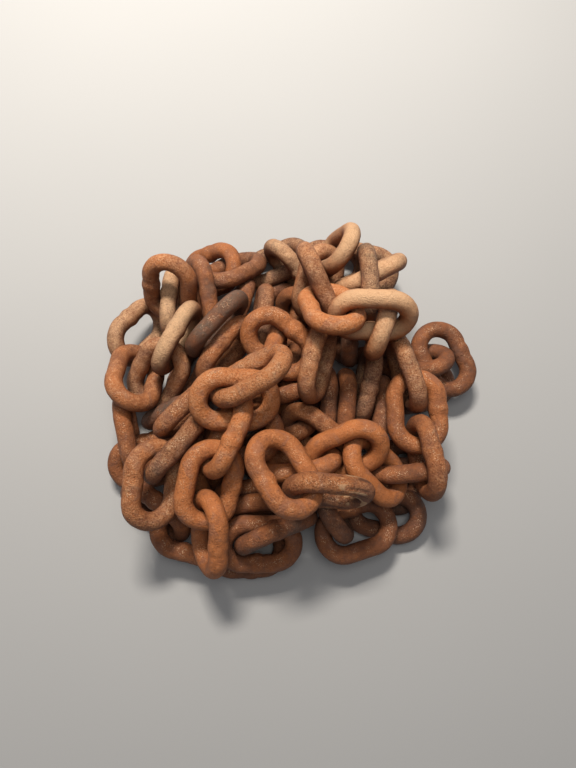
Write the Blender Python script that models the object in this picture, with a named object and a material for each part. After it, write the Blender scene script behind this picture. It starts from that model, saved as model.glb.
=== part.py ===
# Heap of iron chain: a loose heap of welded short link chain, lying on a level floor.
# Units are metres in the finished parts; the layout is worked out in millimetres first.
# The heap is a stack of closed links.  Most links are parts of their own.  Links deep in the
# heap are joined into a few lower runs where they bear on one another.
import math

import bmesh
import bpy
import numpy as np

MM = 0.001

# One link, millimetres
WIRE_DIAMETER = 13.0
INSIDE_LENGTH = 36.0
INSIDE_WIDTH = 17.5

# Link centreline: two half circles joined by two straights
END_RADIUS = (INSIDE_WIDTH + WIRE_DIAMETER) / 2
HALF_STRAIGHT = (INSIDE_LENGTH + WIRE_DIAMETER) / 2 - END_RADIUS
REACH = HALF_STRAIGHT + END_RADIUS
OUTER_LENGTH = INSIDE_LENGTH + 2 * WIRE_DIAMETER

# Places are read in units of one sixty-second of a link's outer length
READING_UNIT = OUTER_LENGTH / 62

# How finely a link is drawn
WIRE_SIDES = 8
BEND_STEPS = 6
WIRE_CORNER_FACTOR = 1.02
BEND_OUTSET = 0.25

# Bearing of one link on the next
CLEARANCE = 0.62
JOINED_DEPTH = 1.5

# Links are read along sight lines that meet at this point above the heap, in reading units
SIGHT_POINT = (0.0, -124.0, 450.0)

# Seating of the links: steps of growing the wire, of resting, and of clearing the last touches
GROW_STEPS = 430
SEAT_STEPS = 600
CLEAR_STEPS = 1500
CLEAR_LIMIT = WIRE_DIAMETER / 260
FIRST_WIRE_SHARE = 0.2
BEARING_STEPS = 40
# How strongly a link is lowered, held at its reading and pushed off its neighbours
LOWERING = WIRE_DIAMETER / 130
HOLD_PLACE_SHARE = 0.08
HOLD_HEIGHT_SHARE = 0.02
HOLD_TURN_SHARE = 0.1
HOLD_GROWTH = 2.0
PUSH_SHARE = 0.9
DEEPEST_PUSH = WIRE_DIAMETER * 3 / 13
LONGEST_MOVE = WIRE_DIAMETER * 2 / 13
LONGEST_TURN = 0.08
TURN_INERTIA = 0.7 * REACH ** 2
# Links of the top of the heap give way less and are held more than the lower runs
UPPER_EASE_SHARE = 0.6
UPPER_HOLD_FACTOR = 3.0

# Every link: name, first end (x, y, height), second end (x, y, height), roll in degrees.
# x and y are where the sight line through that end meets the floor; height is that end's own.
# A roll of 0 lies flat, 90 stands on edge; positive lifts the bar on the left of the link.
LINKS = (
    ("link_01", (-100, 132.5, 66), (-96, 86, 24), 0),
    ("link_02", (-81.5, 129, 53), (-76.5, 73, 41), 60),
    ("link_03", (-98, 122, 26), (-107, 68, 26), 88),
    ("link_04", (-80, 87.5, 55), (-103.5, 45.5, 60), 84),
    ("link_05", (-134, 54, 30), (-104, 80, 14), 60),
    ("link_06", (-119, 46, 28), (-123, -4, 50), -40),
    ("link_07", (-95, 60, 55), (-118, 10, 26), 0),
    ("link_08", (-133, 2, 38), (-117, -42, 24), 85),
    ("low_left_1", (-126, -44, 24), (-84, -24, 22), 10),
    ("link_09", (-124, -62, 24), (-82, -84, 22), 60),
    ("link_10", (-106, -34, 60), (-109, -87, 43), -58),
    ("link_11", (-70, -2, 67), (-104, -45, 58), 85),
    ("link_12", (-64, 22, 53), (-90, -14, 50), 75),
    ("low_left_2", (-88, 0, 34), (-106, -40, 31), 85),
    ("link_13", (-42, 91, 55), (-70, 55, 53), 85),
    ("low_back_1", (-39.7, 140.2, 22), (-59.2, 116.5, 36), 20),
    ("link_14", (-48.1, 125.3, 36), (-82.7, 117.5, 14), 10),
    ("low_back_2", (-36, 130, 19), (6, 130, 22), -42),
    ("low_back_3", (-4, 139, 41), (8, 100, 26), 80),
    ("low_back_right_1", (12, 134, 17), (58, 128, 22), 20),
    ("link_15", (28, 141, 65), (27, 98, 46), -25),
    ("link_16", (45.4, 156.2, 82), (34, 132, 35), -22),
    ("link_17", (20, 131, 77), (31, 98, 62), -65),
    ("low_back_right_2", (46, 134, 41), (82, 124, 36), 30),
    ("link_18", (69, 132, 70), (80, 92, 74), 85),
    ("link_19", (86, 132, 55), (50, 112, 53), 65),
    ("link_20", (38, 84, 96), (100, 74, 89), 58),
    ("link_21", (36, 109, 60), (34, 70, 94), -15),
    ("link_22", (82, 98, 60), (88, 62, 89), 80),
    ("link_23", (83, 57, 60), (103, 15, 53), 100),
    ("low_right_1", (40, 50, 31), (88, 50, 34), 0),
    ("link_24", (70, 51, 60), (52, -2, 46), 85),
    ("link_25", (44, 27, 41), (34, -20, 34), 82),
    ("link_26", (29, 18, 43), (26, -20, 29), 80),
    ("low_right_2", (74, 20, 36), (71, -20, 31), 80),
    ("link_27", (103, 31, 53), (99, -31, 31), 8),
    ("link_28", (106, -7, 43), (114, -64, 38), 88),
    ("link_29", (118, 70, 31), (134, 12, 17), 0),
    ("low_right_3", (124, 45, 26), (80, 43, 19), 45),
    ("low_right_4", (128, 30, 10), (80, 20, 10), 10),
    ("link_30", (121, -52, 30), (67, -48, 31), 80),
    ("link_31", (76, -28, 60), (26, -53, 50), -42),
    ("link_32", (53, -31, 62), (71, -62, 34), -35),
    ("link_33", (8, -62, 84), (60, -67, 72), 80),
    ("link_34", (26, -44, 48), (-20, -38, 41), 70),
    ("link_35", (-21, -22, 79), (11, -77, 74), -30),
    ("link_36", (-14, -26, 74), (-60, -20, 58), -15),
    ("low_middle_1", (14, -15, 30), (-30, -35, 26), 80),
    ("link_37", (8, -3, 55), (41, -32, 46), 75),
    ("link_38", (-49, 10, 84), (-56, -44, 72), 75),
    ("link_39", (-8, 38, 91), (-54, 22, 74), 35),
    ("link_40", (-60, 9, 84), (-14, 20, 70), 35),
    ("link_41", (-66, 34, 46), (-33, 68, 46), 80),
    ("link_42", (-22, 72, 70), (14, 40, 55), 30),
    ("link_43", (-16, 74, 55), (-22, 28, 67), 80),
    ("low_back_4", (-29, 104, 38), (-28, 58, 34), 80),
    ("low_back_5", (-2, 104, 46), (0, 60, 31), 0),
    ("low_back_6", (-2, 90, 28), (36, 84, 34), 60),
    ("link_44", (37, 70, 65), (15, 19, 55), -82),
    ("low_middle_2", (4, 48, 38), (0, 2, 29), 80),
    ("low_middle_3", (12, 30, 48), (-20, -6, 43), 80),
    ("low_middle_4", (-26, 0, 18), (-8, -44, 14), 50),
    ("link_45", (-62, -34, 70), (-70, -92, 53), -20),
    ("link_46", (-64, -79.5, 58), (-55.9, -124, 22), 62),
    ("link_47", (-92, -98, 22), (-42, -106, 14), 0),
    ("low_under_front_1", (-42, -80, 34), (6, -68, 31), 75),
    ("low_under_front_2", (-40, -64, 48), (0, -46, 43), 85),
    ("low_under_front_3", (-63, -6, 46), (-66, -62, 36), 85),
    ("link_48", (-31, -110, 34), (16, -88, 34), 85),
    ("link_49", (-46, -92, 19), (2, -100, 17), 40),
    ("link_50", (-54, -108, 8), (-6, -104, 8), 0),
    ("link_51", (36, -84, 38), (29, -56, 19), 72),
    ("link_52", (32, -102, 24), (74, -87, 19), 0),
    ("low_front_right_1", (84, -81, 10), (36, -68, 10), 0),
    ("low_front_right_2", (88, -34, 8), (76, -72, 8), 0),
    ("low_left_3", (-74, 26, 24), (-110, -14, 22), 85),
    ("low_left_4", (-78, 58, 29), (-80, 10, 24), 70),
    ("low_back_7", (-43, 108, 29), (-36, 62, 29), 80),
    ("low_right_5", (56, 92, 46), (58, 44, 55), 75),
)

# Lower runs: links that bear on each other and are joined into one solid, pair by pair
LOWER_RUNS = {
    "lower_links_left": (
        ("low_left_1", "low_left_2"),
        ("low_left_2", "low_left_3"),
        ("low_left_3", "low_left_4"),
    ),
    "lower_links_back": (
        ("low_back_1", "low_back_7"),
        ("low_back_1", "low_back_2"),
        ("low_back_2", "low_back_5"),
        ("low_back_5", "low_back_6"),
        ("low_back_2", "low_back_3"),
        ("low_back_4", "low_back_5"),
    ),
    "lower_links_back_right": (
        ("low_back_right_1", "low_back_right_2"),
    ),
    "lower_links_right": (
        ("low_right_1", "low_right_5"),
        ("low_right_1", "low_right_3"),
        ("low_right_3", "low_right_4"),
        ("low_right_4", "low_right_2"),
    ),
    "lower_links_middle": (
        ("low_middle_1", "low_middle_4"),
        ("low_middle_1", "low_middle_2"),
        ("low_middle_2", "low_middle_3"),
    ),
    "lower_links_under_front": (
        ("low_under_front_1", "low_under_front_2"),
        ("low_under_front_2", "low_under_front_3"),
    ),
    "lower_links_front_right": (
        ("low_front_right_1", "low_front_right_2"),
    ),
}

IRON_COLOURS = (
    (0.330, 0.150, 0.080),
    (0.270, 0.130, 0.075),
    (0.210, 0.120, 0.085),
    (0.370, 0.180, 0.095),
)


def sight_to_place(x, y, height):
    """Point at the given height on the sight line that meets the floor at x, y."""
    k = height / SIGHT_POINT[2]
    place = np.array([x + (SIGHT_POINT[0] - x) * k, y + (SIGHT_POINT[1] - y) * k, height])
    return place * READING_UNIT


def link_pose(first, second, roll):
    """Centre and turning matrix: columns are the link's length, width and face directions."""
    a = sight_to_place(*first)
    b = sight_to_place(*second)
    along = (b - a) / np.linalg.norm(b - a)
    left = np.cross([0.0, 0.0, 1.0], along)
    left = left / np.linalg.norm(left)
    up = np.cross(along, left)
    r = math.radians(roll)
    across = math.cos(r) * left + math.sin(r) * up
    return (a + b) / 2, np.stack([along, across, np.cross(along, across)], 1)


def centreline(count):
    """Evenly spaced points on the centreline of a link that lies in its own x-y plane."""
    straight = 2 * HALF_STRAIGHT
    bend = math.pi * END_RADIUS
    points = np.zeros((count, 3))
    for i in range(count):
        u = (i + 0.5) / count * 2 * (straight + bend)
        if u < straight:
            points[i] = (-HALF_STRAIGHT + u, -END_RADIUS, 0.0)
        elif u < straight + bend:
            t = (u - straight) / END_RADIUS - math.pi / 2
            points[i] = (HALF_STRAIGHT + END_RADIUS * math.cos(t), END_RADIUS * math.sin(t), 0.0)
        elif u < 2 * straight + bend:
            points[i] = (HALF_STRAIGHT - (u - straight - bend), END_RADIUS, 0.0)
        else:
            t = (u - 2 * straight - bend) / END_RADIUS + math.pi / 2
            points[i] = (-HALF_STRAIGHT + END_RADIUS * math.cos(t), END_RADIUS * math.sin(t), 0.0)
    return points


def turned(matrices, vectors):
    """Matrices turned a little further about the given world vectors."""
    angle = np.sqrt((vectors ** 2).sum(1))
    k = vectors / np.maximum(angle, 1e-12)[:, None]
    skew = np.zeros((len(vectors), 3, 3))
    skew[:, 0, 1] = -k[:, 2]
    skew[:, 0, 2] = k[:, 1]
    skew[:, 1, 0] = k[:, 2]
    skew[:, 1, 2] = -k[:, 0]
    skew[:, 2, 0] = -k[:, 1]
    skew[:, 2, 1] = k[:, 0]
    s = np.sin(angle)[:, None, None]
    c = (1 - np.cos(angle))[:, None, None]
    step = np.eye(3) + s * skew + c * np.matmul(skew, skew)
    return np.matmul(step, matrices)


def cross_rows(a, b):
    """Row by row vector product."""
    return np.stack([
        a[:, 1] * b[:, 2] - a[:, 2] * b[:, 1],
        a[:, 2] * b[:, 0] - a[:, 0] * b[:, 2],
        a[:, 0] * b[:, 1] - a[:, 1] * b[:, 0],
    ], 1)


def add_push(move, turn, who, amount, way, lever, count):
    """Add pushes of the given amount and way to the moves and turns of the links named by who."""
    torque = cross_rows(lever, way)
    for axis in range(3):
        move[:, axis] += np.bincount(who, amount * way[:, axis], count)
        turn[:, axis] += np.bincount(who, amount * torque[:, axis] / TURN_INERTIA, count)


def seat_links(centres, matrices, joined, ease):
    """Rest the links on the floor and on each other.

    The wire starts thin and grows to full size while links that touch are moved apart, so the
    links stay threaded as they were read.  Each link is lowered a little all the time and is
    held near its reading.  Joined pairs are drawn together until they run into each other.
    """
    count = len(centres)
    curve = centreline(BEARING_STEPS)
    firm = np.where(ease < 1, UPPER_HOLD_FACTOR, 1.0)
    start = matrices.copy()
    start_height = centres[:, 2].copy()
    sight = np.array(SIGHT_POINT) * READING_UNIT
    k0 = centres[:, 2:3] / sight[2]
    floor_place = (centres[:, :2] - sight[:2] * k0) / (1 - k0)
    joined_pair = np.zeros((count, count), bool)
    for i, j in joined:
        joined_pair[i, j] = joined_pair[j, i] = True
    near = (2 * REACH + WIRE_DIAMETER + 2 * CLEARANCE) ** 2

    for step in range(SEAT_STEPS + CLEAR_STEPS):
        share = min(1.0, FIRST_WIRE_SHARE + (1 - FIRST_WIRE_SHARE) * step / GROW_STEPS)
        wide = (WIRE_DIAMETER + CLEARANCE) * share
        narrow = wide - (CLEARANCE + JOINED_DEPTH) * share
        points = np.matmul(curve, matrices.transpose(0, 2, 1)) + centres[:, None]
        move = np.zeros((count, 3))
        turn = np.zeros((count, 3))

        apart = ((centres[:, None] - centres[None]) ** 2).sum(-1)
        one, two = np.where((apart < near) & (apart > 0))
        local = np.matmul(points[two] - centres[one][:, None], matrices[one])
        x = local[..., 0]
        y = local[..., 1]
        z = local[..., 2]
        dx = x - np.clip(x, -HALF_STRAIGHT, HALF_STRAIGHT)
        rho = np.sqrt(dx * dx + y * y) + 1e-9
        side = rho - END_RADIUS
        dist = np.sqrt(side * side + z * z) + 1e-9
        limit = np.where(joined_pair[one, two], narrow, wide)[:, None]
        depth = limit - dist
        hits = depth > 0
        worst = float(depth.max())
        hit_count = hits.sum(1)
        m, k = np.where(hits)
        lean = side[m, k] / dist[m, k] / rho[m, k]
        way = np.stack([dx[m, k] * lean, y[m, k] * lean, z[m, k] / dist[m, k]], 1)
        way = np.matmul(matrices[one[m]], way[:, :, None])[:, :, 0]
        here = points[two[m], k]
        lever_two = here - centres[two[m]]
        lever_one = here - way * dist[m, k][:, None] - centres[one[m]]
        ease_one = ease[one[m]]
        ease_two = ease[two[m]]
        give = (ease_one * (1 + (cross_rows(lever_one, way) ** 2).sum(1) / TURN_INERTIA)
                + ease_two * (1 + (cross_rows(lever_two, way) ** 2).sum(1) / TURN_INERTIA))
        amount = np.minimum(depth[m, k], DEEPEST_PUSH) / give / np.maximum(hit_count[m], 1) * PUSH_SHARE
        add_push(move, turn, two[m], amount * ease_two, way, lever_two, count)
        add_push(move, turn, one[m], -amount * ease_one, way, lever_one, count)

        for p, q in joined:
            found = np.where((one == p) & (two == q))[0]
            if len(found) == 0:
                gap = centres[q] - centres[p]
                gap = gap / math.sqrt(float((gap ** 2).sum()))
                move[p] += LONGEST_MOVE / 4 * gap
                move[q] -= LONGEST_MOVE / 4 * gap
                continue
            m = int(found[0])
            k = int(dist[m].argmin())
            excess = float(dist[m, k]) - narrow
            if excess <= 0:
                continue
            lean = side[m, k] / dist[m, k] / rho[m, k]
            way = matrices[p] @ np.array([dx[m, k] * lean, y[m, k] * lean, z[m, k] / dist[m, k]])
            here = points[q, k]
            arm_q = here - centres[q]
            arm_p = here - way * dist[m, k] - centres[p]
            turn_q = np.cross(arm_q, way)
            turn_p = np.cross(arm_p, way)
            give = 2 + float((turn_q ** 2).sum() + (turn_p ** 2).sum()) / TURN_INERTIA
            amount = min(excess, LONGEST_MOVE) / give * PUSH_SHARE
            move[q] -= amount * way
            move[p] += amount * way
            turn[q] -= amount * turn_q / TURN_INERTIA
            turn[p] += amount * turn_p / TURN_INERTIA

        sunk = WIRE_DIAMETER / 2 - points[:, :, 2]
        low = sunk > 0
        m, k = np.where(low)
        if len(m):
            lever = points[m, k] - centres[m]
            upward = np.zeros((len(m), 3))
            upward[:, 2] = 1.0
            give = 1 + (lever[:, 0] ** 2 + lever[:, 1] ** 2) / TURN_INERTIA
            amount = sunk[m, k] / give / np.maximum(low.sum(1)[m], 1) * PUSH_SHARE
            add_push(move, turn, m, amount, upward, lever, count)

        if step < SEAT_STEPS:
            grown = share ** HOLD_GROWTH
            hold = min(1.0, (1 - step / SEAT_STEPS) * 4) * grown
            move[:, 2] -= LOWERING * grown
            move[:, 2] += hold * HOLD_HEIGHT_SHARE * (start_height - centres[:, 2])
            kk = centres[:, 2:3] / sight[2]
            target = floor_place + (sight[:2] - floor_place) * kk
            move[:, :2] += hold * HOLD_PLACE_SHARE * firm[:, None] * (target - centres[:, :2])
            e = np.matmul(start, matrices.transpose(0, 2, 1))
            back = np.stack([e[:, 2, 1] - e[:, 1, 2], e[:, 0, 2] - e[:, 2, 0], e[:, 1, 0] - e[:, 0, 1]], 1)
            turn += hold * HOLD_TURN_SHARE * firm[:, None] * back / 2
        elif worst < CLEAR_LIMIT:
            break

        centres = centres + shortened(move, LONGEST_MOVE)
        matrices = turned(matrices, shortened(turn, LONGEST_TURN))
        if step % 20 == 19:
            matrices = squared(matrices)
            centres = np.round(centres, 6)
            matrices = np.round(matrices, 8)
    return centres, squared(matrices)


def shortened(vectors, longest):
    """Vectors with the long ones cut to the given length."""
    size = np.sqrt((vectors ** 2).sum(1))[:, None]
    return vectors * np.minimum(1.0, longest / np.maximum(size, 1e-9))


def squared(matrices):
    """Matrices with their columns made square to each other and of length one again."""
    a = matrices[:, :, 0]
    a = a / np.sqrt((a ** 2).sum(1))[:, None]
    b = matrices[:, :, 1]
    b = b - a * (a * b).sum(1)[:, None]
    b = b / np.sqrt((b ** 2).sum(1))[:, None]
    return np.stack([a, b, cross_rows(a, b)], 2)


def link_shell(centre, matrix):
    """Points and faces of one closed link: a ring of wire sections along the centreline."""
    sections = []
    bend = END_RADIUS + BEND_OUTSET
    for sign in (1, -1):
        for i in range(BEND_STEPS + 1):
            t = math.pi * (i / BEND_STEPS - sign / 2)
            outward = (math.cos(t), math.sin(t))
            middle = (sign * HALF_STRAIGHT + bend * outward[0], bend * outward[1])
            sections.append((middle, outward))
    radius = WIRE_DIAMETER / 2 * WIRE_CORNER_FACTOR
    points = []
    for middle, outward in sections:
        for k in range(WIRE_SIDES):
            v = 2 * math.pi * (k + 0.5) / WIRE_SIDES
            r = radius * math.cos(v)
            points.append((middle[0] + outward[0] * r, middle[1] + outward[1] * r, radius * math.sin(v)))
    world = np.array(points) @ matrix.T + centre
    rings = len(sections)
    faces = []
    for i in range(rings):
        j = (i + 1) % rings
        for k in range(WIRE_SIDES):
            n = (k + 1) % WIRE_SIDES
            faces.append((i * WIRE_SIDES + k, j * WIRE_SIDES + k, j * WIRE_SIDES + n, i * WIRE_SIDES + n))
    return world, faces


def iron(name, colour):
    """A rusty iron material."""
    material = bpy.data.materials.new(name)
    material.use_nodes = True
    shader = material.node_tree.nodes["Principled BSDF"]
    shader.inputs["Base Color"].default_value = (*colour, 1.0)
    shader.inputs["Metallic"].default_value = 0.0
    shader.inputs["Roughness"].default_value = 0.85
    material.diffuse_color = (*colour, 1.0)
    return material


def add_object(name, points, faces, collection, material):
    """One mesh object with its faces turned outward."""
    mesh = bpy.data.meshes.new(name)
    mesh.from_pydata([tuple(float(v) for v in p) for p in points], [], faces)
    body = bmesh.new()
    body.from_mesh(mesh)
    bmesh.ops.recalc_face_normals(body, faces=body.faces)
    bmesh.ops.triangulate(body, faces=body.faces)
    body.to_mesh(mesh)
    body.free()
    mesh.materials.append(material)
    thing = bpy.data.objects.new(name, mesh)
    collection.objects.link(thing)
    return thing


def new_collection(name, hidden):
    """A collection, hidden from the finished object or not."""
    group = bpy.data.collections.new(name)
    bpy.context.scene.collection.children.link(group)
    group.hide_render = hidden
    return group


def build():
    """Make the whole heap."""
    for thing in list(bpy.data.objects):
        bpy.data.objects.remove(thing, do_unlink=True)
    names = [row[0] for row in LINKS]
    place = {name: i for i, name in enumerate(names)}
    poses = [link_pose(row[1], row[2], row[3]) for row in LINKS]
    centres = np.array([p[0] for p in poses])
    matrices = np.array([p[1] for p in poses])
    joined = [(place[a], place[b]) for pairs in LOWER_RUNS.values() for a, b in pairs]
    lower = {name for pairs in LOWER_RUNS.values() for pair in pairs for name in pair}
    ease = np.array([1.0 if name in lower else UPPER_EASE_SHARE for name in names])
    centres, matrices = seat_links(centres, matrices, joined, ease)
    centres = np.round(centres, 3)
    matrices = squared(np.round(matrices, 6))

    shells = [link_shell(centres[i], matrices[i]) for i in range(len(names))]
    everything = np.concatenate([shell[0] for shell in shells])
    low = everything.min(0)
    high = everything.max(0)
    shift = np.array([-(low[0] + high[0]) / 2, -(low[1] + high[1]) / 2, -low[2]])

    heap = new_collection("heap_of_iron_chain", False)
    tools = new_collection("pieces_to_join", True)
    run_of = {}
    for run, pairs in LOWER_RUNS.items():
        for pair in pairs:
            for name in pair:
                run_of[name] = run
    firsts = {}
    for i, name in enumerate(names):
        points = (shells[i][0] + shift) * MM
        faces = shells[i][1]
        colour = IRON_COLOURS[i % len(IRON_COLOURS)]
        run = run_of.get(name)
        if run is None:
            add_object(name, points, faces, heap, iron("rusty_iron_" + name, colour))
        elif run not in firsts:
            material = iron("rusty_iron_" + run, colour)
            firsts[run] = add_object(run, points, faces, heap, material)
        else:
            base = firsts[run]
            piece = add_object("piece_" + name, points, faces, tools, base.data.materials[0])
            piece.hide_render = True
            piece.hide_viewport = True
            join = base.modifiers.new("join_" + name, "BOOLEAN")
            join.operation = "UNION"
            join.solver = "EXACT"
            join.object = piece


build()
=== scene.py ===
"""Heap of iron chain: the worn wire and the rusty finish of every link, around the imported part.

The layout is worked out in millimetres, as in the part, and turned into metres when it is placed.
"""
import math

import bpy
import numpy as np
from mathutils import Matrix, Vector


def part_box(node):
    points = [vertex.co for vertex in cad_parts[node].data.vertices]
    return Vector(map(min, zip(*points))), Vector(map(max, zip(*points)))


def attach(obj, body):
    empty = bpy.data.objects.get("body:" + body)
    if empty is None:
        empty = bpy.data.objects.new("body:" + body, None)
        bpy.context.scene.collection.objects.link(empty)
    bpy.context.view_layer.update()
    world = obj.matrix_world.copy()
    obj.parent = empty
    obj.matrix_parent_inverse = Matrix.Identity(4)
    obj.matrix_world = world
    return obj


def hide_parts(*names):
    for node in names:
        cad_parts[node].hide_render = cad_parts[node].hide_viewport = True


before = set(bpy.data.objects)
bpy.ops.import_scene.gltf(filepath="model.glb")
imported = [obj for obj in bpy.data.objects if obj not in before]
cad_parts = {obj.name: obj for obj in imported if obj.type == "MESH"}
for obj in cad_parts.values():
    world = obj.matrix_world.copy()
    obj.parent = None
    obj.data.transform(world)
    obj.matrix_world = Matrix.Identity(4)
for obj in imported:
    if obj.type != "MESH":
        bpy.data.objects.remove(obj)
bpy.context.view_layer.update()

MM = 0.001

# One link: round wire bent to an oval
WIRE_DIAMETER = 13.0
INSIDE_LENGTH = 36.0
INSIDE_WIDTH = 17.5
END_RADIUS = (INSIDE_WIDTH + WIRE_DIAMETER) / 2
HALF_STRAIGHT = (INSIDE_LENGTH + WIRE_DIAMETER) / 2 - END_RADIUS
REACH = HALF_STRAIGHT + END_RADIUS
OUTER_LENGTH = INSIDE_LENGTH + 2 * WIRE_DIAMETER
LOOP = 4 * HALF_STRAIGHT + 2 * math.pi * END_RADIUS

# Places are read in units of one sixty-second of a link's outer length
READING_UNIT = OUTER_LENGTH / 62

# Grid of one link's surface: steps along the wire and round it
ALONG_STEPS = 132
ROUND_STEPS = 36

# Wire as forged and closed, millimetres; each link gets its own share of the waist
WIRE_RADIUS = 6.55
WAIST = 0.45
WAIST_SHARES = (0.2, 1.0)
BEND_DRIFT = 0.40
BEND_PATCH = 16.0

# Weld in the middle of one side, millimetres: a ring that stands proud, with a groove each side.
# Each link gets its own share of its height, its own slip from the middle and a heavier side.
WELD_RISE = 0.85
WELD_SHARES = (0.6, 1.2)
WELD_REACH = 3.4
WELD_SLIP = 2.0
WELD_LEAN = 0.25
WELD_GROOVE = 0.30
GROOVE_OFFSET = 5.2
GROOVE_REACH = 1.3

# Wear at the inner side of both ends, millimetres; its angle is in radians from the crown
END_WEAR = 0.75
END_WEAR_SHARES = (0.3, 1.0)
END_WEAR_ANGLE = 0.55
END_WEAR_FADE = 1.5

# Dents, flaked scale and grain of the rust, millimetres
DENT_DEPTH = 0.15
DENT_PATCH = 12.0
SCALE_STEP = 0.16
SCALE_PATCH = 7.5
SCALE_STEEPNESS = 5.0
SCALE_SINK = 0.5
# A smooth link still has this share of the step, and wear takes this share of it away
SMOOTH_LINK_SHARE = 0.35
WORN_AWAY_SHARE = 0.7
GRAIN_DEPTH = 0.07
GRAIN_PATCH = 2.2

# The one link whose second end flakes in lengthwise ridges, some times longer than wide.
# Start and fade are shares of the distance from the link's middle to the end of its centreline.
FLAKY_LINK = "link_33"
RIDGE_HEIGHT = 0.36
RIDGE_PATCH = 1.9
RIDGE_STRETCH = 4.0
RIDGE_OFFSET = 40.0
RIDGE_START = -0.2
RIDGE_FADE = 0.35

# Noise: a finer layer's share of the height, and how far apart links take theirs, millimetres
LAYER_SHARE = 0.55
NOISE_HOME = (211.0, 97.0, 53.0)
NOISE_HOMES = 97
# Large odd factors that mix a cell's numbers, and the low bits that are kept
CELL_FACTORS = (73856093, 19349663, 83492791)
SEED_FACTOR = 2654435761
FIRST_MIX_FACTOR = 2246822519
SECOND_MIX_FACTOR = 3266489917
LOW_32_BITS = 2 ** 32 - 1
LOW_24_BITS = 2 ** 24 - 1

# Seed of the first link, and the step to the next
FIRST_SEED = 41
SEED_STEP = 7

# Painted shade between links: points on each neighbour's centreline, and the gap in mm over which the
# shade fades
NEIGHBOUR_STEPS = 90
SHADE_GAP = 2.0

# Bearing of one link on the next
CLEARANCE = 0.62
JOINED_DEPTH = 1.5

# Links are read along sight lines that meet at this point above the heap, in reading units
SIGHT_POINT = (0.0, -124.0, 450.0)

# Seating of the links: steps of growing the wire, of resting, and of clearing the last touches
GROW_STEPS = 430
SEAT_STEPS = 600
CLEAR_STEPS = 1500
CLEAR_LIMIT = WIRE_DIAMETER / 260
FIRST_WIRE_SHARE = 0.2
BEARING_STEPS = 40
# How strongly a link is lowered, held at its reading and pushed off its neighbours
LOWERING = WIRE_DIAMETER / 130
HOLD_PLACE_SHARE = 0.08
HOLD_HEIGHT_SHARE = 0.02
HOLD_TURN_SHARE = 0.1
HOLD_GROWTH = 2.0
PUSH_SHARE = 0.9
DEEPEST_PUSH = WIRE_DIAMETER * 3 / 13
LONGEST_MOVE = WIRE_DIAMETER * 2 / 13
LONGEST_TURN = 0.08
TURN_INERTIA = 0.7 * REACH ** 2
# Links of the top of the heap give way less and are held more than the lower runs
UPPER_EASE_SHARE = 0.6
UPPER_HOLD_FACTOR = 3.0

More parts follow.
